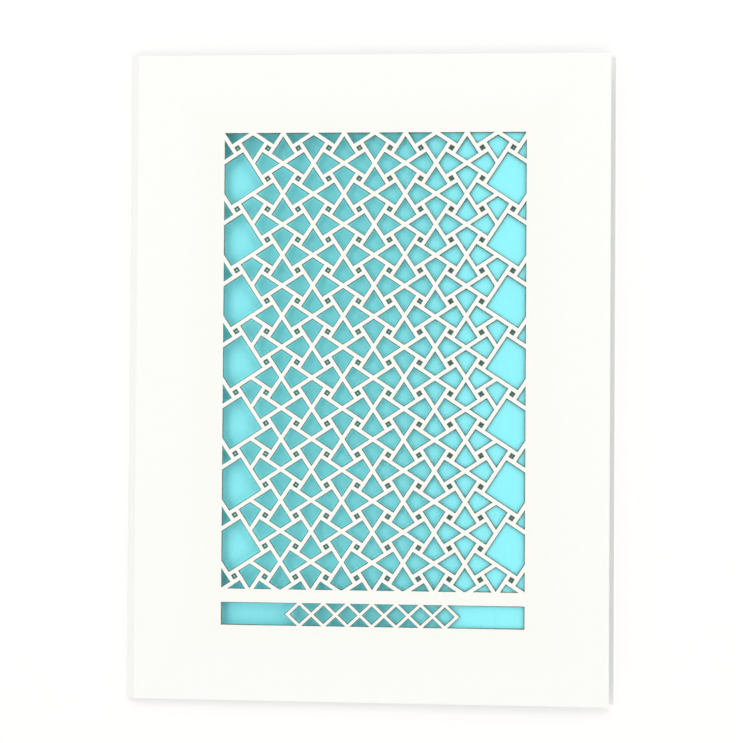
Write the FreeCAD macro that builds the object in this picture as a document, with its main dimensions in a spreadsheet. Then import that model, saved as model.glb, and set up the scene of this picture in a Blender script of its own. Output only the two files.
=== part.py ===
"""Laser cut greeting card: a folded blank with a strapwork window, and its insert.

The card lies on its back leaf, face up (+Z), with the fold along -X and its head
towards +Y. Each sheet is drawn from where its lower leaf enters the fold, and its
body is then placed so that the part's origin is the middle of the footprint.
"""
import FreeCAD, Part
import Sketcher
import math
import os
import re

V = FreeCAD.Vector

# Driving dimensions, in millimetres and degrees.
SIZES = {
    # card blank
    "card_height": 178.0,      # along the fold
    "front_width": 130.0,      # front leaf, crease to free edge
    "back_width": 133.4,       # back leaf, fold to free edge
    "card_stock": 0.35,
    "fold_radius": 0.7,        # inside radius where the back leaf turns up
    "spine_width": 2.07,       # flat between the two bends of the puffed fold
    "spine_slope": 31.7,       # slope of that flat
    "crease_radius": 0.3,      # inside radius at the front crease
    "front_spring": 0.45,      # slope of the front leaf, sprung slightly open
    # strapwork window
    "pitch": 8.44,             # spacing of the pinwheels, both ways
    "strap": 1.1,              # width of a strap
    "strap_angle": 33.2,       # lean of the straps off the grid
    "side_inset": 3.6,         # window's side to its outer column of pinwheels
    "foot_inset": 3.4,         # window's foot to its last row of pinwheels
    "border_least": 20.5,      # least margin of uncut card all round
    "block_across": 0.6,       # cut block off the leaf's middle, away from the fold
    "block_down": 0.45,        # cut block below the leaf's middle
    # slot under the window
    "rail": 3.7,               # uncut rail between window and slot
    "slot_height": 6.25,
    "chain_width": 47.0,       # room for the chain of lozenges
    "lozenge_width": 6.65,
    "chain_strap": 0.85,
    # insert
    "insert_height": 174.0,
    "insert_width": 126.0,     # one leaf, fold to free edge
    "insert_stock": 0.15,
    "insert_fold": 0.05,       # inside radius of its pressed fold
    "insert_set_in": 1.0,      # its fold from the card's fold
    "insert_opening": 0.75,    # slope at which its upper leaf leaves the fold
    "insert_straight": 34.0,   # width of the upper leaf that stays straight
    "insert_curl": 55.0,       # width over which it then curls up
    "insert_relax": 12.0,      # width over which it turns back along the front leaf
    "insert_clearance": 0.25,  # free edge of its upper leaf below the front leaf
}

doc = FreeCAD.newDocument("greeting_card")
sheet = doc.addObject("Spreadsheet::Sheet", "Sizes")
for row, (alias, number) in enumerate(SIZES.items(), start=1):
    sheet.set(f"A{row}", alias)
    sheet.set(f"B{row}", str(number))
    sheet.setAlias(f"B{row}", alias)
doc.recompute()


def value(formula):
    """A formula in the sheet's aliases, worked out as a plain number."""
    return float(sheet.evalExpression(formula))


def bound(formula, unit="mm"):
    """The same formula, written so that another object can be bound to it."""
    names = "|".join(SIZES)
    return "(" + re.sub(rf"\b({names})\b", r"Sizes.\1", formula) + f") * 1 {unit}"


def direction(angle):
    """Unit vector at an angle from +X, in degrees."""
    return V(math.cos(math.radians(angle)), math.sin(math.radians(angle)), 0)


# Inner face of the front leaf where it leaves the crease, from the fold's start.
CREASE_X = ("(spine_width * cos(spine_slope) - fold_radius * sin(spine_slope)"
            " + crease_radius * (sin(spine_slope) - sin(front_spring)))")
CREASE_Z = ("(card_stock + fold_radius * (1 + cos(spine_slope)) + spine_width * sin(spine_slope)"
            " + crease_radius * (cos(front_spring) - cos(spine_slope)))")


# ---------------------------------------------------------------- folded sheets

class FoldedSection:
    """The section of a folded sheet, drawn along its two faces and dimensioned.

    The walk starts at the lower leaf's free end and heads for the origin. The inner
    face is on its right, so a sheet that folds over on itself turns to the right.
    """

    def __init__(self, sketch, stock, lower_leaf):
        self.sketch = sketch
        self.stock = stock
        self.heading = 180.0
        self.inner = V(value(lower_leaf), value(stock), 0)
        self.faces = {"inner": [], "outer": []}
        self.flat(lower_leaf)

    def outer_of(self, inner):
        return inner + direction(self.heading + 90) * value(self.stock)

    def constrain(self, kind, *where):
        return self.sketch.addConstraint(Sketcher.Constraint(kind, *where))

    def dimension(self, kind, edge, formula, unit="mm"):
        number = value(formula)
        if unit == "deg":
            number = math.radians(number)
        index = self.constrain(kind, edge, number)
        self.sketch.setExpression(f"Constraints[{index}]", bound(formula, unit))

    def add(self, edges, ends):
        """Add one edge to each face, tangent to the last one."""
        start, end = ends
        for face, edge in edges.items():
            index = self.sketch.addGeometry(edge)
            if self.faces[face]:
                last, _, last_end = self.faces[face][-1]
                self.constrain("Tangent", last, last_end, index, start)
            self.faces[face].append((index, start, end))

    def flat(self, length):
        step = direction(self.heading) * value(length)
        outer = self.outer_of(self.inner)
        self.add({"inner": Part.LineSegment(self.inner, self.inner + step),
                  "outer": Part.LineSegment(outer, outer + step)}, (1, 2))
        self.inner = self.inner + step
        inner_edge, outer_edge = (self.faces[face][-1][0] for face in ("inner", "outer"))
        self.constrain("Parallel", inner_edge, outer_edge)
        self.dimension("Distance", inner_edge, length)

    def bend(self, radius, turn, to_left=False):
        """Turn about a centre on the right, or on the left for a sheet that curls up."""
        hand = -1 if to_left else 1
        tight, wide = ("outer", "inner") if to_left else ("inner", "outer")
        corner = self.outer_of(self.inner) if to_left else self.inner
        centre = corner - direction(self.heading + 90) * (hand * value(radius))
        reach = {tight: value(radius), wide: value(radius) + value(self.stock)}
        first = math.radians(self.heading + hand * 90)
        last = first - hand * math.radians(value(turn))
        arcs = {}
        for face in (tight, wide):
            circle = Part.Circle(centre, V(0, 0, 1), reach[face])
            arcs[face] = Part.ArcOfCircle(circle, min(first, last), max(first, last))
        self.add(arcs, (1, 2) if to_left else (2, 1))
        tight_edge, wide_edge = (self.faces[face][-1][0] for face in (tight, wide))
        self.constrain("Coincident", tight_edge, 3, wide_edge, 3)
        self.dimension("Radius", tight_edge, radius)
        self.dimension("Angle", tight_edge, turn, "deg")
        self.heading -= hand * value(turn)
        self.inner = centre + direction(self.heading + 90) * (hand * reach["inner"])

    def close(self):
        """Close both ends square to the sheet and pin the section to the origin."""
        for end in (0, -1):
            inner_edge, inner_start, inner_end = self.faces["inner"][end]
            outer_edge, outer_start, outer_end = self.faces["outer"][end]
            inner_point = inner_start if end == 0 else inner_end
            outer_point = outer_start if end == 0 else outer_end
            line = Part.LineSegment(self.sketch.getPoint(inner_edge, inner_point),
                                    self.sketch.getPoint(outer_edge, outer_point))
            cap = self.sketch.addGeometry(line)
            self.constrain("Coincident", cap, 1, inner_edge, inner_point)
            self.constrain("Coincident", cap, 2, outer_edge, outer_point)
            if self.sketch.Geometry[inner_edge].TypeId == "Part::GeomLineSegment":
                self.constrain("Perpendicular", cap, inner_edge)
            else:
                self.constrain("PointOnObject", inner_edge, 3, cap)
            if end == 0:
                self.dimension("Distance", cap, self.stock)
        bottom, _, bottom_end = self.faces["outer"][0]
        self.constrain("Horizontal", bottom)
        self.constrain("Coincident", bottom, bottom_end, -1, 1)
        if self.sketch.solve() != 0:
            raise RuntimeError(f"{self.sketch.Name} does not solve")


def origin_plane(body, role):
    return next(plane for plane in body.Origin.OriginFeatures if plane.Role == role)


def new_sketch(body, name, role):
    sketch = body.newObject("Sketcher::SketchObject", name)
    sketch.AttachmentSupport = [(origin_plane(body, role), "")]
    sketch.MapMode = "FlatFace"
    return sketch


def sheet_body(label, height):
    """A body whose base is a folded section, padded along the fold."""
    body = doc.addObject("PartDesign::Body", label)
    body.Label = label
    sketch = new_sketch(body, f"{label}_section", "XZ_Plane")
    pad = body.newObject("PartDesign::Pad", f"{label}_sheet")
    pad.Profile = sketch
    pad.Midplane = True
    pad.setExpression("Length", bound(height))
    return body, sketch, pad


def place(body, set_in="0", floor="0"):
    """Put a sheet's fold in the part's frame, whose origin is mid-footprint."""
    middle = "(back_width - fold_radius - card_stock) / 2"
    body.setExpression("Placement.Base.x", bound(f"{set_in} - {middle}"))
    body.setExpression("Placement.Base.z", bound(floor))


# ---------------------------------------------------------------- cut openings

class Window:
    """Rule of the strapwork, in the front leaf's own plane: X from the crease, Y up.

    Pinwheels of four straps stand on a square grid, turned left and right by turns.
    Around every grid cell's centre two straps cross, at the strap angle in one cell
    and at its complement in the next. In the two outer columns every second pinwheel
    is left out, which leaves a square bay.
    """

    def __init__(self):
        self.pitch = value("pitch")
        self.strap = value("strap")
        self.angle = value("strap_angle")
        self.head_inset = self.pitch / 2
        room_across = value("front_width - 2 * border_least - 2 * side_inset")
        band = value("rail + slot_height")
        room_down = value("card_height - 2 * border_least - foot_inset") - band - self.head_inset
        self.columns = 2 * int((room_across / self.pitch + 1) / 2)
        self.rows = 2 * int(room_down / self.pitch / 2) + 1
        width = (self.columns - 1) * self.pitch + 2 * value("side_inset")
        height = (self.rows - 1) * self.pitch + self.head_inset + value("foot_inset")
        middle = value("front_width / 2 + block_across")
        self.left, self.right = middle - width / 2, middle + width / 2
        self.top = (height + band) / 2 - value("block_down")
        self.bottom = self.top - height

    def at(self, column, row):
        """Point on the grid; halves are cell centres."""
        return V(self.left + value("side_inset") + column * self.pitch,
                 self.top - self.head_inset - row * self.pitch, 0)

    def left_out(self, column, row):
        return column in (0, self.columns - 1) and row % 2 == 1 and 0 <= row < self.rows

    def square(self, column, row):
        """The hole at the heart of a pinwheel, or the bay where one is left out."""
        lean = math.radians(self.angle)
        turn = self.angle if (column + row) % 2 == 0 else -self.angle
        side = self.pitch * (math.cos(lean) - math.sin(lean)) - self.strap
        if self.left_out(column, row):
            side = self.pitch * (math.cos(lean) + math.sin(lean)) - self.strap
            turn = -turn
        corners = (45 + turn + quarter * 90 for quarter in range(4))
        return [self.at(column, row) + direction(corner) * (side / math.sqrt(2))
                for corner in corners]

    def kite(self, middle, sharp_end):
        """The hole between two neighbouring pinwheels, about the middle of their side.

        Its axis joins the centres of the two cells on that side. It is sharp towards
        the one where the straps cross narrowly, and square at its two flanks.
        """
        cosine, sine = direction(self.angle).x, direction(self.angle).y
        half = self.strap / 2
        axis = sharp_end * -1
        across = V(-axis.y, axis.x, 0)
        crossing = middle + sharp_end * (self.pitch / 2)
        flank_along = self.pitch * cosine * cosine - half * (cosine - sine)
        flank_out = self.pitch * cosine * sine - half * (cosine + sine)
        return [crossing + axis * (half / sine),
                crossing + axis * flank_along - across * flank_out,
                crossing + axis * (self.pitch - half / cosine),
                crossing + axis * flank_along + across * flank_out]

    def openings(self):
        """Every hole of the strapwork, clipped by the window's straight sides."""
        holes = [self.square(column, row)
                 for column in range(self.columns) for row in range(self.rows)]
        for column in range(-1, self.columns):
            for row in range(self.rows):
                if not (self.left_out(column, row) or self.left_out(column + 1, row)):
                    down = 1 if (column + row) % 2 == 0 else -1
                    holes.append(self.kite(self.at(column + 0.5, row), V(0, -down, 0)))
        for column in range(self.columns):
            for row in range(-1, self.rows):
                if not (self.left_out(column, row) or self.left_out(column, row + 1)):
                    right = 1 if (column + row) % 2 == 1 else -1
                    holes.append(self.kite(self.at(column, row + 0.5), V(right, 0, 0)))
        return [self.clipped(hole) for hole in holes]

    def clipped(self, polygon):
        """The part of a convex polygon inside the window."""
        limits = ((V(-1, 0, 0), -self.left), (V(1, 0, 0), self.right),
                  (V(0, -1, 0), -self.bottom), (V(0, 1, 0), self.top))
        for outward, limit in limits:
            kept = []
            for here, after in zip(polygon, polygon[1:] + polygon[:1]):
                over_here = here.dot(outward) - limit
                over_after = after.dot(outward) - limit
                if over_here <= 0:
                    kept.append(here)
                if over_here * over_after < 0:
                    kept.append(here + (after - here) * (over_here / (over_here - over_after)))
            polygon = kept
        return polygon


def chain_openings(window):
    """Holes of the slot, in which a chain of lozenges stands between rail and foot."""
    half_height = value("slot_height") / 2
    top = window.bottom - value("rail")
    level = top - half_height
    foot = level - half_height
    width = value("lozenge_width")
    slope = math.atan2(half_height, width / 2)
    beside = value("chain_strap") / 2 / math.sin(slope)
    above = value("chain_strap") / 2 / math.cos(slope)
    count = int(value("chain_width") / width)
    middle = (window.left + window.right) / 2
    centres = [middle + (link - (count - 1) / 2) * width for link in range(count)]
    holes = []
    for x in centres:
        holes.append([V(x - width / 2 + beside, level, 0), V(x, foot + above, 0),
                      V(x + width / 2 - beside, level, 0), V(x, top - above, 0)])
    for x, after in zip(centres, centres[1:]):
        for edge, point in ((foot, level - above), (top, level + above)):
            holes.append([V(x + beside, edge, 0), V((x + after) / 2, point, 0),
                          V(after - beside, edge, 0)])
    for side, x, end in ((-1, centres[0], window.left), (1, centres[-1], window.right)):
        holes.append([V(end, foot, 0), V(x + side * beside, foot, 0),
                      V(x + side * (width / 2 + beside), level, 0),
                      V(x + side * beside, top, 0), V(end, top, 0)])
    return holes


# ---------------------------------------------------------------- the two pieces

def make_card():
    """Card folded once, with the strapwork and the slot cut through its front leaf."""
    body, section, blank = sheet_body("card", "card_height")
    fold = FoldedSection(section, "card_stock", "back_width")
    fold.bend("fold_radius", "180 - spine_slope")
    fold.flat("spine_width")
    fold.bend("crease_radius", "spine_slope - front_spring")
    fold.flat("front_width")
    fold.close()

    cut_lines = new_sketch(body, "cut_lines", "XY_Plane")
    cut_lines.AttachmentOffset = FreeCAD.Placement(V(), FreeCAD.Rotation(V(0, -1, 0), 1))
    lean = {"Base.x": (f"{CREASE_X} - card_stock * sin(front_spring)", "mm"),
            "Base.z": (f"{CREASE_Z} + card_stock * cos(front_spring)", "mm"),
            "Rotation.Angle": ("front_spring", "deg")}
    for part_of_offset, (formula, unit) in lean.items():
        cut_lines.setExpression(f"AttachmentOffset.{part_of_offset}", bound(formula, unit))
    window = Window()
    outlines = window.openings() + chain_openings(window)
    cut_lines.addGeometry([Part.LineSegment(here, after) for outline in outlines
                           for here, after in zip(outline, outline[1:] + outline[:1])])
    cut = body.newObject("PartDesign::Pocket", "strapwork")
    cut.Profile = cut_lines
    cut.Refine = False
    cut.setExpression("Length", bound("card_stock * 2"))
    place(body)
    return body


def make_insert():
    """Paper folded once and slipped into the fold, its upper leaf curling up to the front leaf.

    The curl turns by what lifts the leaf's free edge to its clearance, and the leaf
    beyond it lies along the front leaf.
    """
    body, section, _ = sheet_body("insert", "insert_height")
    lowest = "(card_stock + 2 * insert_stock + 2 * insert_fold)"
    reach = "(insert_set_in + insert_width - " + CREASE_X + ")"
    underside = f"({CREASE_Z} + {reach} * tan(front_spring))"
    lift = f"({underside} - insert_clearance - {lowest})"
    level = "(insert_width - insert_straight - insert_curl - insert_relax)"
    sloped = (f"((insert_opening * (insert_straight + insert_curl + insert_relax / 2)"
              f" + front_spring * ({level} + insert_relax / 2)) * pi / 180)")
    curl_up = f"(({lift} - {sloped}) * 360 / pi / (insert_curl + insert_relax))"
    turn_back = f"(insert_opening + {curl_up} - front_spring)"
    fold = FoldedSection(section, "insert_stock", "insert_width")
    fold.bend("insert_fold", "180 - insert_opening")
    fold.flat("insert_straight")
    fold.bend(f"(insert_curl * 180 / pi / {curl_up})", curl_up, to_left=True)
    fold.bend(f"(insert_relax * 180 / pi / {turn_back})", turn_back)
    fold.flat(level)
    fold.close()
    place(body, set_in="insert_set_in", floor="card_stock")
    return body


pieces = [make_card(), make_insert()]
doc.recompute()
for thing in doc.Objects:
    if "Invalid" in thing.State or "Error" in thing.State:
        raise RuntimeError(f"{thing.Name}: {thing.State}")
os.makedirs("parts", exist_ok=True)
for piece in pieces:
    if piece.Shape.isNull() or not piece.Shape.isValid():
        raise RuntimeError(f"{piece.Label} has no valid shape")
    piece.Shape.exportStep(f"parts/{piece.Label}.step")
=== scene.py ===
"""Laser cut greeting card: the cut card, the paper insert inside it, and the table they lie on."""
import math

import bmesh
import bpy
from bpy.props import FloatProperty, FloatVectorProperty, IntProperty, PointerProperty
from bpy.types import Operator, Panel, PropertyGroup
from mathutils import Euler, Matrix, Vector


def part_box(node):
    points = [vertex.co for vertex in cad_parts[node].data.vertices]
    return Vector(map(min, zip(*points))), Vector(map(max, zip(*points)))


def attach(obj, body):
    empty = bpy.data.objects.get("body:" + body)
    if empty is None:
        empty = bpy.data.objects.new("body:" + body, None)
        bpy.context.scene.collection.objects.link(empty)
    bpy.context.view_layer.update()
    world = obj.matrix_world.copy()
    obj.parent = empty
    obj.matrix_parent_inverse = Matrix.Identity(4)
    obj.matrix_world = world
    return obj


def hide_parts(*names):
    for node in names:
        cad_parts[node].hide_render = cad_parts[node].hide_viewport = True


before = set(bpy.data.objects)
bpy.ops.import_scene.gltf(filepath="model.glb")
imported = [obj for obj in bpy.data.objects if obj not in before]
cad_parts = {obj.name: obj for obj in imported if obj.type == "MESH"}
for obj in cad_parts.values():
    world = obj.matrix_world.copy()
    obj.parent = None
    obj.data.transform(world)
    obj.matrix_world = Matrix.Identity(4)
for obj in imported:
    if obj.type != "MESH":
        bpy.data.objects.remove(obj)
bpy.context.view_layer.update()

bl_info = {
    "name": "Laser cut greeting card",
    "version": (1, 0, 0),
    "blender": (4, 5, 0),
    "location": "View3D > Sidebar > Greeting card",
    "description": "Makes a folded card with a laser cut lattice, and the paper insert inside it",
    "category": "Add Mesh",
}

MM = 0.001
CARD_LOW, CARD_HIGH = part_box("card")
INSERT_LOW, INSERT_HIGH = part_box("insert")
UP = (0.0, 0.0, 1.0)
BLACK = (0.0, 0.0, 0.0)
WHITE = (1.0, 1.0, 1.0)
WELD = 1e-6                 # corners closer than this are one
HALF_WAY = 0.5              # share of the card's height above which the front leaf lies
LEVEL = 0.9995              # the leaf's two faces have normals with more Z than this
UPRIGHT = 0.1               # the walls of its cuts have normals with less Z than this
SHARP = math.radians(38)    # turn between two faces from which their edge stays sharp


def length_property(name, description, default, **limits):
    return FloatProperty(name=name, description=description, default=default, min=0.0,
                         unit="LENGTH", subtype="DISTANCE", precision=5, **limits)


def colour_property(name, description, default):
    return FloatVectorProperty(name=name, description=description, default=default, size=3,
                               min=0.0, max=1.0, subtype="COLOR")


def lamp_property(name, description, default):
    return FloatProperty(name=name, description=description, default=default, min=0.0,
                         unit="POWER")


# ---------------------------------------------------------------- node trees

class Wire:
    """One output socket. Arithmetic on it adds the node that works the result out."""

    def __init__(self, tree, socket):
        self.tree = tree
        self.socket = socket

    def out(self, name):
        """Another output of the same node."""
        return Wire(self.tree, open_socket(self.socket.node.outputs, name))

    def is_vector(self):
        return self.socket.type == "VECTOR"

    def sum_of(self, operation, first, second):
        """Math on numbers, or Vector Math where either side is a vector."""
        vectors = any(isinstance(item, Wire) and item.is_vector() for item in (first, second))
        kind = "ShaderNodeVectorMath" if vectors else "ShaderNodeMath"
        return self.tree.add(kind, {"operation": operation}, {0: first, 1: second})

    def scaled(self, factor):
        return self.tree.add("ShaderNodeVectorMath", {"operation": "SCALE"},
                             {0: self, "Scale": factor})

    def __add__(self, other):
        return self.sum_of("ADD", self, other)

    __radd__ = __add__

    def __sub__(self, other):
        return self.sum_of("SUBTRACT", self, other)

    def __rsub__(self, other):
        return self.sum_of("SUBTRACT", other, self)

    def __mul__(self, other):
        by_vector = isinstance(other, tuple) or isinstance(other, Wire) and other.is_vector()
        if self.is_vector() and not by_vector:
            return self.scaled(other)
        return self.sum_of("MULTIPLY", self, other)

    __rmul__ = __mul__

    def __truediv__(self, other):
        return self.sum_of("DIVIDE", self, other)

    def __rtruediv__(self, other):
        return self.sum_of("DIVIDE", other, self)

    def __gt__(self, other):
        return self.sum_of("GREATER_THAN", self, other)

    def __lt__(self, other):
        return self.sum_of("LESS_THAN", self, other)

    def __abs__(self):
        return self.tree.add("ShaderNodeMath", {"operation": "ABSOLUTE"}, {0: self})

    def part(self, name):
        return self.tree.add("ShaderNodeSeparateXYZ", {}, {0: self}).out(name)

    @property
    def x(self):
        return self.part("X")

    @property
    def y(self):
        return self.part("Y")

    @property
    def z(self):
        return self.part("Z")


def open_socket(sockets, key):
    """A socket by its number, or the one in use under that name."""
    if isinstance(key, int):
        return sockets[key]
    return next(socket for socket in sockets if socket.enabled and socket.name == key)


class Tree:
    """A node tree under construction."""

    def __init__(self, nodes_in):
        self.tree = nodes_in

    def add(self, kind, settings=None, sockets=None):
        """Add a node: its settings first, then the values or links of its sockets."""
        node = self.tree.nodes.new(kind)
        for name, setting in (settings or {}).items():
            setattr(node, name, setting)
        for key, value in (sockets or {}).items():
            self.feed(open_socket(node.inputs, key), value)
        shown = [socket for socket in node.outputs if socket.enabled]
        return Wire(self, shown[0]) if shown else None

    def feed(self, socket, value):
        """Link a wire, or each wire of a list, or else set the socket's own value."""
        if isinstance(value, Wire):
            self.tree.links.new(value.socket, socket)
        elif isinstance(value, list):
            for wire in value:
                self.feed(socket, wire)
        elif socket.type == "RGBA" and len(value) == 3:
            socket.default_value = (*value, 1.0)
        else:
            socket.default_value = value

    def math(self, operation, *values):
        return self.add("ShaderNodeMath", {"operation": operation}, dict(enumerate(values)))

    def vector_math(self, operation, *values):
        return self.add("ShaderNodeVectorMath", {"operation": operation},
                        dict(enumerate(values)))

    def mixed(self, factor, first, second):
        """The first colour where factor is 0, the second where it is 1."""
        return self.add("ShaderNodeMix", {"data_type": "RGBA"},
                        {"Factor": factor, "A": first, "B": second})

    def between(self, value, low, high):
        """value held between low and high."""
        return self.math("MINIMUM", self.math("MAXIMUM", value, low), high)

    def ramp_up(self, value, low, high):
        """0 below low, 1 above high, and a smooth rise between them."""
        return self.add("ShaderNodeMapRange", {"interpolation_type": "SMOOTHSTEP"},
                        {"Value": value, "From Min": low, "From Max": high})

    def noise(self, vector, size, detail=2.0, roughness=0.5):
        """Noise whose blotches are about size across, in metres."""
        return self.add("ShaderNodeTexNoise", {"normalize": True},
                        {"Vector": vector, "Scale": 1 / size, "Detail": detail,
                         "Roughness": roughness})


class ShapeTree(Tree):
    """A Geometry Nodes tree with named inputs."""

    def __init__(self, name, inputs):
        super().__init__(bpy.data.node_groups.new(name, "GeometryNodeTree"))
        sockets = self.tree.interface
        sockets.new_socket("Geometry", in_out="OUTPUT", socket_type="NodeSocketGeometry")
        sockets.new_socket("Geometry", in_out="INPUT", socket_type="NodeSocketGeometry")
        self.identifiers = {}
        for label, value in inputs.items():
            kind = "NodeSocketInt" if isinstance(value, int) else "NodeSocketFloat"
            self.identifiers[label] = sockets.new_socket(label, in_out="INPUT",
                                                         socket_type=kind).identifier
        self.values = inputs
        self.entry = self.add("NodeGroupInput")

    def given(self, label):
        return self.entry.out(label)

    def named(self, attribute, kind="FLOAT_VECTOR"):
        return self.add("GeometryNodeInputNamedAttribute", {"data_type": kind},
                        {"Name": attribute})

    def store(self, geometry, attribute, value, kind="FLOAT_VECTOR", selection=True):
        return self.add("GeometryNodeStoreNamedAttribute", {"data_type": kind, "domain": "POINT"},
                        {"Geometry": geometry, "Selection": selection, "Name": attribute,
                         "Value": value})

    def forget(self, geometry, *attributes):
        """Drop attributes that were only stored for the work."""
        for attribute in attributes:
            geometry = self.add("GeometryNodeRemoveAttribute", {},
                                {"Geometry": geometry, "Name": attribute})
        return geometry

    def moved(self, geometry, position, selection=True):
        return self.add("GeometryNodeSetPosition", {}, {"Geometry": geometry,
                        "Selection": selection, "Position": position})

    def split(self, geometry, selection, domain="FACE"):
        """(the selected part, the rest)"""
        chosen = self.add("GeometryNodeSeparateGeometry", {"domain": domain},
                          {"Geometry": geometry, "Selection": selection})
        return chosen, chosen.out("Inverted")

    def flipped(self, geometry, selection=True):
        return self.add("GeometryNodeFlipFaces", {}, {"Mesh": geometry, "Selection": selection})

    def close(self, geometry, material):
        """Smooth the shading up to the sharp edges, and end the tree."""
        geometry = self.add("GeometryNodeSetShadeSmooth", {"domain": "FACE"},
                            {"Geometry": geometry, "Shade Smooth": True})
        sharp = self.add("GeometryNodeInputMeshEdgeAngle") > SHARP
        geometry = self.add("GeometryNodeSetShadeSmooth", {"domain": "EDGE"},
                            {"Geometry": geometry, "Selection": sharp, "Shade Smooth": False})
        geometry = self.add("GeometryNodeRealizeInstances", {}, {"Geometry": geometry})
        geometry = self.add("GeometryNodeSetMaterial", {},
                            {"Geometry": geometry, "Material": material})
        self.add("NodeGroupOutput", {}, {"Geometry": geometry})

    def make(self, name, start):
        """Run the tree on the start mesh and return its result as a plain object."""
        carrier = bpy.data.objects.new(name + "_start", start)
        bpy.context.scene.collection.objects.link(carrier)
        modifier = carrier.modifiers.new("shape", "NODES")
        modifier.node_group = self.tree
        for label, identifier in self.identifiers.items():
            modifier[identifier] = self.values[label]
        carrier.update_tag()
        bpy.context.view_layer.update()
        evaluated = carrier.evaluated_get(bpy.context.evaluated_depsgraph_get())
        mesh = bpy.data.meshes.new_from_object(evaluated)
        mesh.name = name
        if not mesh.polygons:
            raise RuntimeError(f"{name}: the tree made no faces")
        bpy.data.objects.remove(carrier)
        made = bpy.data.objects.new(name, mesh)
        bpy.context.scene.collection.objects.link(made)
        return made


class Finish(Tree):
    """A material under construction."""

    def __init__(self, name):
        self.material = bpy.data.materials.new(name)
        self.material.use_nodes = True
        self.material.node_tree.nodes.clear()
        super().__init__(self.material.node_tree)
        self.point = self.add("ShaderNodeTexCoord").out("Object")

    def along(self, share):
        """The point with its pattern drawn out along Y."""
        return self.add("ShaderNodeMapping", {"vector_type": "POINT"},
                        {"Vector": self.point, "Scale": (1.0, share, 1.0)})

    def bump(self, height, depth):
        return self.add("ShaderNodeBump", {},
                        {"Height": height, "Strength": 1.0, "Distance": depth})

    def surface(self, **sockets):
        """End with a Principled surface, its sockets named with _ for a space."""
        return self.output(self.add("ShaderNodeBsdfPrincipled", {}, {
            name.replace("_", " "): value for name, value in sockets.items()}))

    def output(self, shader):
        self.add("ShaderNodeOutputMaterial", {}, {"Surface": shader})
        return self.material


# ---------------------------------------------------------------- settings

class CardSettings(PropertyGroup):
    smoke_reach: length_property("Smoke reach", "How far the laser's smoke tints the faces",
                                 0.34 * MM)
    lip: length_property("Lip", "Rounding of a cut edge", 0.04 * MM)
    kerf_taper: length_property("Kerf taper", "How much the cut narrows towards the underside",
                                0.18 * MM)
    # Extra narrowing of the tiniest cuts, whose wider charred wall paints the shade inside them.
    tiny_cut_shade_narrowing: FloatProperty(name="Dwell", default=1.3, min=0.0, max=2.0,
                         description="How much more a tiny cut narrows, where the beam slows")
    haze: FloatProperty(name="Haze", default=0.12, min=0.0, max=1.0,
                        description="Share of smoke tint on the straps, away from the cuts")
    mitre_limit: FloatProperty(name="Mitre limit", default=1.83, min=1.0,
                               description="Ring widths that a ring's sharp corner may run out")
    least_margin: length_property("Least margin",
                                  "Width of card all round in which no cut is sought", 10 * MM)
    stock_colour: colour_property("Card colour", "Uncoated white card", (0.93, 0.93, 0.90))
    smoke_colour: colour_property("Smoke colour", "Cream tint beside a cut", (0.85, 0.81, 0.67))
    # Colour of the cut walls: partly real scorch, partly painted shade, tinted green-grey like the
    # shaded aqua paper beside the cuts.
    char_and_shade_colour: colour_property("Char and shade colour", "Scorched wall of a cut", (0.095, 0.13, 0.098))


class InsertSettings(PropertyGroup):
    stock: length_property("Paper thickness", "Thickness of the insert's paper", 0.15 * MM)
    fold_radius: length_property("Fold radius", "Middle radius of the pressed fold", 0.125 * MM)
    opening: FloatProperty(name="Opening", default=math.radians(0.75), unit="ROTATION",
                           description="Slope at which the upper leaf leaves the fold")
    rest_slope: FloatProperty(name="Rest slope", default=math.radians(0.45), unit="ROTATION",
                              description="Slope of the upper leaf where it lies along the card")
    straight: length_property("Straight", "Width of the upper leaf that stays straight", 34 * MM)
    curl: length_property("Curl", "Width over which it then curls up", 55 * MM)
    relax: length_property("Relax", "Width over which it eases off again", 12 * MM)
    cockle: length_property("Cockle", "Height of the slight waves in the upper leaf", 0.1 * MM)
    cockle_size: length_property("Cockle size", "Width of those waves", 22 * MM)
    paper_colour: colour_property("Paper colour", "Dyed aqua paper", (0.28, 0.89, 0.95))
    cockle_seed: IntProperty(name="Cockle seed", description="Which waves the leaf has", default=3)


class StageSettings(PropertyGroup):
    floor_size: length_property("Floor size", "Side of the white table", 4.0)
    floor_colour: colour_property("Floor colour", "White table", (0.90, 0.90, 0.90))
    shadow_depth: FloatProperty(name="Shadow depth", default=0.35, min=0.0, max=1.0,
                                description="Share of the table's light that shows its shadows")
    floor_glow: FloatProperty(name="Floor glow", default=0.525, min=0.0, max=1.0,
                              description="White that the table shows whatever the light")
    floor_bounce: FloatProperty(name="Floor bounce", default=0.6, min=0.0, max=1.0,
                                description="Share of the table's white that lights the card")
    glow_colour: colour_property("Glow colour", "Tint of that white, against the blue of shadows",
                                 (1.0, 0.98, 0.955))
    sky: FloatProperty(name="Sky", default=1.225, min=0.0,
                       description="Level of the light from all round")
    sky_top: FloatProperty(name="Sky top", default=math.radians(64), unit="ROTATION",
                           description="Height at which the light from all round ends")
    left_lamp: lamp_property("Left lamp", "Power of the high lamp on the fold's side", 9.0)
    right_lamp: lamp_property("Right lamp", "Power of the low lamp on the free edges' side", 9.6)
    head_lamp: lamp_property("Head lamp", "Power of the low lamp at the card's head", 9.6)
    table_head_lamp: lamp_property("Table head lamp", "Power of the table's own lamp at the head",
                                   27.0)
    table_foot_lamp: lamp_property("Table foot lamp", "Power of the table's own lamp at the foot",
                                   16.0)
    lamp_size: length_property("Lamp size", "Side of each soft lamp", 1.12)
    lamp_distance: length_property("Lamp distance", "Each lamp's distance from the card", 2.0)


# ---------------------------------------------------------------- finishes

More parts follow.
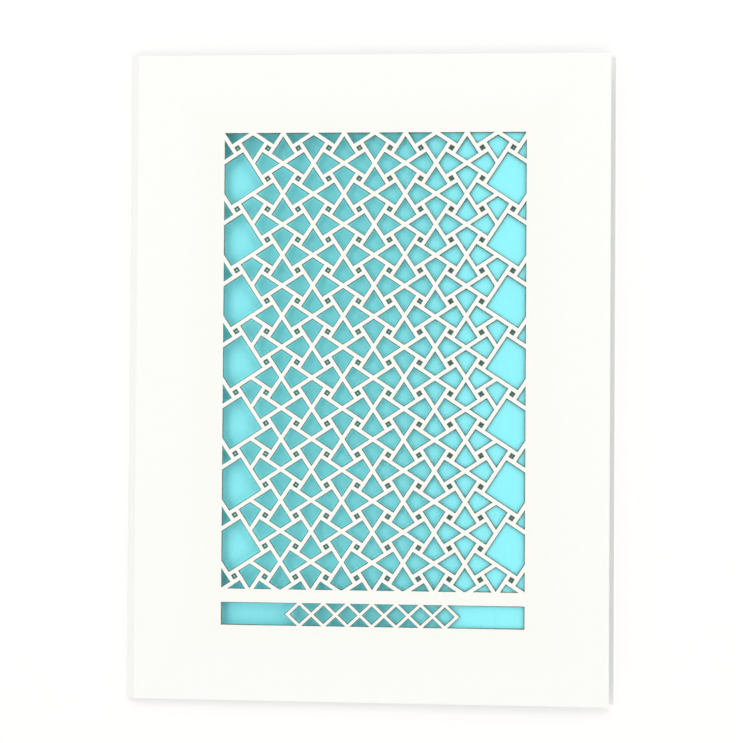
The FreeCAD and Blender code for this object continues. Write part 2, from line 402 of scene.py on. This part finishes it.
def card_finish(settings):
    """Uncoated white card, its cut walls scorched and the faces beside them smoked; the char's
    green-grey also paints the shade on the paper beside the cuts.
    """
    finish = Finish("white_card_stock")
    tooth = finish.noise(finish.point, 0.16 * MM, 3.0, 0.6)
    cloud = finish.noise(finish.point, 2.6 * MM, 3.0, 0.55)
    fibre = finish.noise(finish.along(0.22), 0.35 * MM, 3.0, 0.6)
    ragged = finish.noise(finish.point, 0.7 * MM)
    scorch = finish.add("ShaderNodeAttribute", {"attribute_name": "scorch"}).out("Fac")
    burnt = scorch * (0.7 + 0.6 * ragged)
    shade = 0.975 + 0.03 * cloud + 0.02 * fibre
    stock = finish.mixed(shade, BLACK, settings.stock_colour)
    smoked = finish.mixed(finish.ramp_up(burnt, 0.0, 0.55), stock, settings.smoke_colour)
    # The char is partly real scorch and partly painted shade: its green-grey stands for the shadow
    # on the aqua paper beside each cut.
    charred_and_shaded = finish.mixed(finish.ramp_up(burnt, 0.5, 0.95), smoked, settings.char_and_shade_colour)
    return finish.surface(
        Base_Color=charred_and_shaded, Roughness=0.78 + 0.12 * tooth, Specular_IOR_Level=0.3,
        Normal=finish.bump(0.6 * tooth + 0.4 * fibre, 0.008 * MM))


def insert_finish(settings):
    """Aqua paper dyed in the pulp, with a faint lengthwise grain."""
    finish = Finish("aqua_paper_stock")
    tooth = finish.noise(finish.point, 0.45 * MM, 4.0, 0.7)
    grain = finish.noise(finish.along(0.12), 1.1 * MM, 4.0, 0.6)
    cloud = finish.noise(finish.point, 7 * MM)
    shade = 0.83 + 0.16 * grain + 0.08 * cloud + 0.10 * tooth
    dyed = finish.mixed(shade, BLACK, settings.paper_colour)
    return finish.surface(
        Base_Color=dyed, Roughness=0.72 + 0.14 * tooth, Specular_IOR_Level=0.3,
        Normal=finish.bump(0.5 * tooth + 0.5 * grain, 0.012 * MM))


def floor_finish(settings):
    """White table that shows as white, and still keeps the card's shadow."""
    finish = Finish("white_table")
    lit, shadowed = (
        finish.add("ShaderNodeBsdfDiffuse", {},
                   {"Color": tuple(share * part for part in settings.floor_colour)})
        for share in (settings.floor_bounce, settings.shadow_depth))
    glow = finish.add("ShaderNodeEmission", {}, {"Color": settings.glow_colour,
                                                 "Strength": settings.floor_glow})
    seen = finish.add("ShaderNodeAddShader", {}, {0: shadowed, 1: glow})
    camera = finish.add("ShaderNodeLightPath").out("Is Camera Ray")
    return finish.output(finish.add("ShaderNodeMixShader", {}, {0: camera, 1: lit, 2: seen}))


# ---------------------------------------------------------------- the card

def welded_copy(node):
    """The CAD node's mesh with its loose triangles joined and its stored normals dropped."""
    shell = bmesh.new()
    shell.from_mesh(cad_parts[node].data)
    bmesh.ops.remove_doubles(shell, verts=shell.verts, dist=WELD)
    if any(not edge.is_manifold for edge in shell.edges):
        raise RuntimeError(f"{node}: the welded mesh is open")
    mesh = bpy.data.meshes.new(node + "_welded")
    shell.to_mesh(mesh)
    shell.free()
    normals = mesh.attributes.get("custom_normal")
    if normals:
        mesh.attributes.remove(normals)
    return mesh


class CutCardTree(ShapeTree):
    """Gives every cut in the front leaf a scorched wall, whose char also paints shade, between two
    worn lips.

    The leaf's two faces are taken off, and so are the plain walls of its cuts. Along
    each cut's outline, rings step from the upper face over the lip, down the wall, which
    narrows the cut, and out on the underside. Faces fill what is left of the leaf between
    the rings. "scorch" says how burnt each ring is, and so how much painted shade its
    char carries, with a faint haze on the faces.
    """

    OFF_GRID = 0.2371           # turn of the outlines while they are filled, in radians
    TINY_CUT = 2 * MM * MM      # area up to which a cut narrows most
    SMALL_CUT = 4 * MM * MM     # area from which it narrows no more than the others

    def __init__(self, settings):
        super().__init__("cut_card", {
            "Smoke reach": settings.smoke_reach, "Lip": settings.lip,
            "Kerf taper": settings.kerf_taper, "Mitre limit": settings.mitre_limit,
            "Least margin": settings.least_margin, "Haze": settings.haze,
            "Dwell": settings.tiny_cut_shade_narrowing})
        blank = self.given("Geometry")
        self.position = self.add("GeometryNodeInputPosition")
        self.normal = self.add("GeometryNodeInputNormal")
        front_leaf = self.position.z > HALF_WAY * (CARD_HIGH.z - CARD_LOW.z)
        upper, rest = self.split(blank, front_leaf * (self.normal.z > LEVEL))
        under, rest = self.split(rest, front_leaf * (self.normal.z < -LEVEL))
        _, rest = self.split(rest, front_leaf * self.well_inside()
                             * (abs(self.normal.z) < UPRIGHT))
        self.plane = self.mean_plane(upper)
        self.stock = self.thickness(under)
        upper_lines, under_lines = self.outlines(upper), self.outlines(under)
        shell = [rest, self.rings(upper_lines), self.filled(upper_lines, self.plane),
                 self.flipped(self.filled(under_lines, self.mean_plane(under)))]
        card = self.add("GeometryNodeJoinGeometry", {}, {"Geometry": shell})
        card = self.add("GeometryNodeMergeByDistance", {},
                        {"Geometry": card, "Distance": WELD})
        card = self.forget(card, "corner", "mitre", "hand", "taper")
        self.close(card, card_finish(settings))

    def well_inside(self):
        """1 where the card may be cut, 0 in the margins all round."""
        margin = self.given("Least margin")
        return ((abs(self.position.y) < CARD_HIGH.y - margin)
                * (self.position.x < CARD_HIGH.x - margin)
                * (self.position.x > CARD_LOW.x + margin))

    def mean_plane(self, face):
        """(a point, the normal) of a flat face."""
        return tuple(self.add("GeometryNodeAttributeStatistic",
                              {"data_type": "FLOAT_VECTOR", "domain": "FACE"},
                              {"Geometry": face, "Attribute": field}).out("Mean")
                     for field in (self.position, self.normal))

    def level_with(self, point, plane):
        """The point moved straight up or down on to the plane."""
        middle, normal = plane
        away = self.vector_math("DOT_PRODUCT", point - middle, normal).out("Value")
        return point - self.add("ShaderNodeCombineXYZ", {}, {"Z": away / normal.z})

    def thickness(self, under):
        """Distance between the leaf's upper face and its under face."""
        middle, normal = self.plane
        below, _ = self.mean_plane(under)
        return self.vector_math("DOT_PRODUCT", middle - below, normal).out("Value")

    def neighbour(self, step):
        """Place of the point that many steps further along its curve."""
        index = self.add("GeometryNodeOffsetPointInCurve", {},
                         {"Offset": step}).out("Point Index")
        return self.add("GeometryNodeFieldAtIndex", {"data_type": "FLOAT_VECTOR",
                        "domain": "POINT"}, {"Index": index, "Value": self.position})

    def outlines(self, face):
        """The face's outlines as curves.

        Each corner of a cut knows its mitre into the card, the hand that its outline runs
        round and how far its wall narrows the cut. The leaf's own outline is the largest,
        and is no cut: its mitre and hand are 0.
        """
        open_edge = self.add("GeometryNodeInputMeshEdgeNeighbors") < 1.5
        lines = self.add("GeometryNodeMeshToCurve", {}, {"Mesh": face, "Selection": open_edge})
        before, after = self.neighbour(-1), self.neighbour(1)
        across = []
        for start, end in ((before, self.position), (self.position, after)):
            heading = self.vector_math("NORMALIZE", (end - start) * (1.0, 1.0, 0.0))
            across.append(self.vector_math("CROSS_PRODUCT", heading, UP))
        which = self.add("GeometryNodeCurveOfPoint").out("Curve Index")
        sweep = self.vector_math("CROSS_PRODUCT", self.position, after).z
        area = 0.5 * self.add("GeometryNodeAccumulateField", {"data_type": "FLOAT"},
                              {"Value": sweep, "Group ID": which}).out("Total")
        largest = self.add("GeometryNodeAttributeStatistic", {"domain": "POINT"},
                           {"Geometry": lines, "Attribute": abs(area)}).out("Max")
        is_cut = abs(area) < 0.5 * largest
        hand = self.math("SIGN", area) * is_cut
        spread = 1 + self.vector_math("DOT_PRODUCT", *across).out("Value")
        mitre = (across[0] + across[1]) * (hand / spread)
        length = self.vector_math("LENGTH", mitre).out("Value")
        mitre = mitre * self.math("MINIMUM", 1.0, self.given("Mitre limit") / length)
        lines = self.store(lines, "hand", hand, "FLOAT")
        # Tiny cuts narrow more, so that more of their charred wall shows: painted shade inside
        # them.
        tiny = 1 - self.ramp_up(abs(area), self.TINY_CUT, self.SMALL_CUT)
        lines = self.store(lines, "taper", self.given("Kerf taper")
                           * (1 + self.given("Dwell") * tiny), "FLOAT")
        lines = self.store(lines, "mitre", mitre)
        return self.store(lines, "corner", self.position)

    def ring_place(self, reach, depth):
        """Place on a cut's profile: reach into the card, depth below the upper face."""
        flat = self.level_with(self.named("corner") + self.named("mitre") * reach, self.plane)
        return flat - self.plane[1] * depth

    def rings(self, lines):
        """The profile swept round every cut, with how badly each ring is scorched; the wall's char
        is partly painted shade.

        Each entry is its reach into the card, its depth and its scorch.
        """
        reach, lip, haze = (self.given(label) for label in ("Smoke reach", "Lip", "Haze"))
        taper = self.named("taper", "FLOAT")
        profile = ((reach, 0.0 * lip, haze), (3 * lip, 0.0 * lip, haze),
                   (lip, 0.2 * lip, 0.35), (0.25 * lip, 1.0 * lip, 0.75),
                   (0.0 * lip, 2.2 * lip, 0.9), (0.0 - taper, self.stock - lip, 1.0),
                   (lip - taper, self.stock, 0.9), (4 * lip, self.stock, 0.5),
                   (reach, self.stock, haze))
        hand = self.named("hand", "FLOAT")
        cuts, _ = self.split(lines, abs(hand) > 0.5, "CURVE")
        strip = self.add("GeometryNodeCurveToMesh", {}, {"Curve": cuts})
        strip = self.moved(strip, self.ring_place(*profile[0][:2]))
        strip = self.store(strip, "scorch", haze, "FLOAT")
        newest = True
        for across, down, scorch in profile[1:]:
            strip = self.add("GeometryNodeExtrudeMesh", {"mode": "EDGES"},
                             {"Mesh": strip, "Selection": newest, "Offset Scale": 0.0})
            newest = strip.out("Top")
            strip = self.moved(strip, self.ring_place(across, down), newest)
            strip = self.store(strip, "scorch", scorch, "FLOAT", newest)
        return self.flipped(strip, hand > 0.0)

    def filled(self, lines, plane):
        """Faces between the leaf's edge and the outermost rings.

        The outlines are turned off their grid while they are filled, because the search
        for holes fails on corners that line up.
        """
        place = self.named("corner") + self.named("mitre") * self.given("Smoke reach")
        face = self.add("GeometryNodeFillCurve", {"mode": "TRIANGLES"},
                        {"Curve": self.turned(self.moved(lines, place), self.OFF_GRID)})
        face = self.turned(face, -self.OFF_GRID)
        face = self.store(face, "scorch", self.given("Haze") * self.well_inside(), "FLOAT")
        return self.moved(face, self.level_with(self.position, plane))

    def turned(self, geometry, angle):
        """The geometry turned about the upright axis."""
        turn = self.add("ShaderNodeVectorRotate", {"rotation_type": "Z_AXIS"},
                        {"Vector": self.position, "Angle": angle})
        return self.moved(geometry, turn)


class GREETING_OT_cut_card(Operator):
    """Make the folded card with the lattice and the slot cut through its front leaf"""
    bl_idname = "greeting_card.cut_card"
    bl_label = "Cut card"

    def execute(self, context):
        tree = CutCardTree(context.scene.greeting_card)
        card = tree.make("cut_card", welded_copy("card"))
        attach(card, "root")
        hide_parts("card")
        return {"FINISHED"}


# ---------------------------------------------------------------- the insert

class InsertTree(ShapeTree):
    """A paper folded once: a flat lower leaf, a pressed fold, and an upper leaf that curls up.

    A grid is wrapped along the sheet's middle line, from the lower leaf's free edge round
    the fold to the upper leaf's, then given slight waves and its thickness.
    """

    LEAF_STEPS, FOLD_STEPS, LENGTH_STEPS = 64, 12, 88

    def __init__(self, settings):
        stock, radius = settings.stock, settings.fold_radius
        width = INSERT_HIGH.x - INSERT_LOW.x - radius - 0.5 * stock
        floor = INSERT_LOW.z + 0.5 * stock
        super().__init__("folded_insert", {
            "Leaf width": width, "Leaf length": INSERT_HIGH.y - INSERT_LOW.y,
            "Thickness": stock, "Fold radius": radius,
            "Fold": INSERT_LOW.x + radius + 0.5 * stock, "Floor": floor,
            "Lift": INSERT_HIGH.z - 0.5 * stock - floor - 2 * radius,
            "Opening": settings.opening, "Rest slope": settings.rest_slope,
            "Straight": settings.straight, "Curl": settings.curl, "Relax": settings.relax,
            "Cockle": settings.cockle, "Cockle size": settings.cockle_size,
            "Seed": settings.cockle_seed})
        width, radius = self.given("Leaf width"), self.given("Fold radius")
        columns = 2 * self.LEAF_STEPS + self.FOLD_STEPS
        grid = self.add("GeometryNodeMeshGrid", {}, {
            "Size X": 1.0, "Size Y": self.given("Leaf length"),
            "Vertices X": columns + 1, "Vertices Y": self.LENGTH_STEPS + 1})
        here = self.add("GeometryNodeInputPosition")
        step = (here.x + 0.5) * columns
        lower = width * (1 - self.between(step / self.LEAF_STEPS, 0.0, 1.0))
        turn = math.pi * self.between((step - self.LEAF_STEPS) / self.FOLD_STEPS, 0.0, 1.0)
        share = self.between((step - self.LEAF_STEPS - self.FOLD_STEPS) / self.LEAF_STEPS,
                             0.0, 1.0)
        along = share * width
        x = self.given("Fold") + lower - radius * self.math("SINE", turn) + along
        z = self.given("Floor") + radius * (1 - self.math("COSINE", turn)) + self.rise(along)
        wave = self.add("ShaderNodeTexNoise", {"noise_dimensions": "4D"}, {
            "Vector": self.add("ShaderNodeCombineXYZ", {}, {"X": x, "Y": 0.35 * here.y}),
            "W": self.given("Seed"), "Scale": 1 / self.given("Cockle size"), "Detail": 1.0})
        spread = self.math("SINE", math.pi * share)
        z = z + self.given("Cockle") * spread * 2 * (wave - 0.5)
        leaf = self.moved(grid, self.add("ShaderNodeCombineXYZ", {},
                                         {"X": x, "Y": here.y, "Z": z}))
        normal = self.add("GeometryNodeInputNormal")
        leaf = self.add("GeometryNodeSetPosition", {}, {
            "Geometry": leaf, "Offset": normal * (-0.5 * self.given("Thickness"))})
        walls = self.add("GeometryNodeExtrudeMesh", {"mode": "FACES"}, {
            "Mesh": leaf, "Offset Scale": self.given("Thickness"), "Individual": False})
        sheet = self.add("GeometryNodeJoinGeometry", {},
                         {"Geometry": [walls, self.flipped(leaf)]})
        sheet = self.add("GeometryNodeMergeByDistance", {},
                         {"Geometry": sheet, "Distance": WELD})
        self.close(sheet, insert_finish(settings))

    def rise(self, along):
        """Height of the upper leaf over its fold: straight, curled up, then easing off."""
        opening, rest = self.given("Opening"), self.given("Rest slope")
        straight, curl, relax = (self.given(label) for label in ("Straight", "Curl", "Relax"))
        last = self.given("Leaf width") - straight - curl - relax
        bend = ((self.given("Lift") - opening * (straight + curl)
                 - 0.5 * relax * (opening + rest) - rest * last) / (0.5 * curl * (curl + relax)))
        steepest = opening + bend * curl
        first = self.between(along, 0.0, straight + curl)
        curled = self.between(along - straight, 0.0, curl)
        eased = self.between(along - straight - curl, 0.0, relax)
        level = self.math("MAXIMUM", along - straight - curl - relax, 0.0)
        return (opening * first + 0.5 * bend * curled * curled + steepest * eased
                - 0.5 * (steepest - rest) * eased * eased / relax + rest * level)


class GREETING_OT_insert(Operator):
    """Make the folded paper insert that shows through the lattice"""
    bl_idname = "greeting_card.insert"
    bl_label = "Paper insert"

    def execute(self, context):
        tree = InsertTree(context.scene.greeting_insert)
        insert = tree.make("folded_insert", bpy.data.meshes.new("insert_start"))
        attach(insert, "root")
        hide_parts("insert")
        return {"FINISHED"}


# ---------------------------------------------------------------- the stage

class GREETING_OT_stage(Operator):
    """Set up the white table, the soft lamps, the light from all round and the camera"""
    bl_idname = "greeting_card.stage"
    bl_label = "Table, lamps and camera"

    TABLE_GAP = 0.02 * MM                   # the table's top lies this far under the card
    LAMPS = (                               # name, bearing from +X, height, table's own
        ("left_lamp", 180, 50, False), ("right_lamp", 0, 25, False),
        ("head_lamp", 90, 25, False), ("table_head_lamp", 90, 62, True),
        ("table_foot_lamp", 270, 62, True))
    SKY_RISE = 0.35                         # sine of the height from which the sky is full
    SKY_FALL = 0.75                         # share of the top's sine from which it dims
    LENS, SENSOR = 57.9, 36.0               # mm
    CAMERA_PLACE = Vector((14.39, -2.42, 331.27)) * MM
    CAMERA_TURN = (0.7273, 2.4756, 0.3788)  # degrees about X, Y and Z

    def execute(self, context):
        settings = context.scene.greeting_stage
        table = self.floor(context, settings)
        all_but_table = self.receivers(table, "EXCLUDE")
        table_alone = self.receivers(table, "INCLUDE")
        for name, bearing, height, tables_own in self.LAMPS:
            lamp = self.lamp(context, name, bearing, height, settings)
            lamp.light_linking.receiver_collection = table_alone if tables_own else all_but_table
        self.sky(context, settings)
        self.camera(context)
        return {"FINISHED"}

    def floor(self, context, settings):
        half = 0.5 * settings.floor_size
        level = CARD_LOW.z - self.TABLE_GAP
        mesh = bpy.data.meshes.new("table")
        mesh.from_pydata([(-half, -half, level), (half, -half, level), (half, half, level),
                          (-half, half, level)], [], [(0, 1, 2, 3)])
        mesh.materials.append(floor_finish(settings))
        table = bpy.data.objects.new("table", mesh)
        context.scene.collection.objects.link(table)
        return table

    def receivers(self, table, state):
        """What a lamp lights: the table alone (INCLUDE), or all but the table (EXCLUDE)."""
        lit = bpy.data.collections.new("table_" + state.lower())
        lit.objects.link(table)
        lit.collection_objects[0].light_linking.link_state = state
        return lit

    def lamp(self, context, name, bearing, height, settings):
        """A soft square lamp, at a bearing round from +X and a height over the horizon."""
        light = bpy.data.lights.new(name, "AREA")
        light.shape = "SQUARE"
        light.size = settings.lamp_size
        light.energy = getattr(settings, name)
        lamp = bpy.data.objects.new(name, light)
        turn = (Matrix.Rotation(math.radians(bearing + 90), 4, "Z")
                @ Matrix.Rotation(math.radians(90 - height), 4, "X"))
        lamp.matrix_world = turn @ Matrix.Translation((0.0, 0.0, settings.lamp_distance))
        lamp.visible_camera = False
        context.scene.collection.objects.link(lamp)
        return lamp

    def sky(self, context, settings):
        """Light from all round at low and middling height, which the camera sees as white."""
        world = bpy.data.worlds.new("white_room")
        world.use_nodes = True
        world.node_tree.nodes.clear()
        room = Tree(world.node_tree)
        seen = room.add("ShaderNodeLightPath").out("Is Camera Ray")
        height = room.add("ShaderNodeTexCoord").out("Generated").z
        top = math.sin(settings.sky_top)
        ring = (room.ramp_up(height, 0.0, self.SKY_RISE)
                * (1 - room.ramp_up(height, self.SKY_FALL * top, top)))
        room_light, white = (
            room.add("ShaderNodeBackground", {}, {"Color": colour, "Strength": strength})
            for colour, strength in ((room.mixed(ring, BLACK, WHITE), settings.sky),
                                     (WHITE, 1.0)))
        both = room.add("ShaderNodeMixShader", {}, {0: seen, 1: room_light, 2: white})
        room.add("ShaderNodeOutputWorld", {}, {"Surface": both})
        context.scene.world = world
        context.scene.view_settings.view_transform = "Standard"

    def camera(self, context):
        lens = bpy.data.cameras.new("camera")
        lens.lens = self.LENS
        lens.sensor_width = self.SENSOR
        lens.clip_start = 0.01
        camera = bpy.data.objects.new("camera", lens)
        turn = Euler([math.radians(angle) for angle in self.CAMERA_TURN], "XYZ")
        camera.matrix_world = (Matrix.Translation(self.CAMERA_PLACE)
                               @ turn.to_matrix().to_4x4())
        context.scene.collection.objects.link(camera)
        context.scene.camera = camera


# ---------------------------------------------------------------- add-on

class GREETING_PT_panel(Panel):
    """Lists what makes the greeting card"""
    bl_idname = "GREETING_PT_panel"
    bl_label = "Greeting card"
    bl_space_type = "VIEW_3D"
    bl_region_type = "UI"
    bl_category = "Greeting card"

    def draw(self, context):
        scene = context.scene
        for operator, settings in ((GREETING_OT_cut_card, scene.greeting_card),
                                   (GREETING_OT_insert, scene.greeting_insert),
                                   (GREETING_OT_stage, scene.greeting_stage)):
            box = self.layout.box()
            for name in settings.bl_rna.properties.keys():
                if name not in ("rna_type", "name"):
                    box.prop(settings, name)
            box.operator(operator.bl_idname)


CLASSES = (CardSettings, InsertSettings, StageSettings, GREETING_OT_cut_card,
           GREETING_OT_insert, GREETING_OT_stage, GREETING_PT_panel)


def register():
    for each in CLASSES:
        bpy.utils.register_class(each)
    bpy.types.Scene.greeting_card = PointerProperty(type=CardSettings)
    bpy.types.Scene.greeting_insert = PointerProperty(type=InsertSettings)
    bpy.types.Scene.greeting_stage = PointerProperty(type=StageSettings)


def unregister():
    del bpy.types.Scene.greeting_stage
    del bpy.types.Scene.greeting_insert
    del bpy.types.Scene.greeting_card
    for each in reversed(CLASSES):
        bpy.utils.unregister_class(each)


def main():
    register()
    bpy.ops.greeting_card.stage()
    bpy.ops.greeting_card.cut_card()
    bpy.ops.greeting_card.insert()


if __name__ == "__main__":
    main()
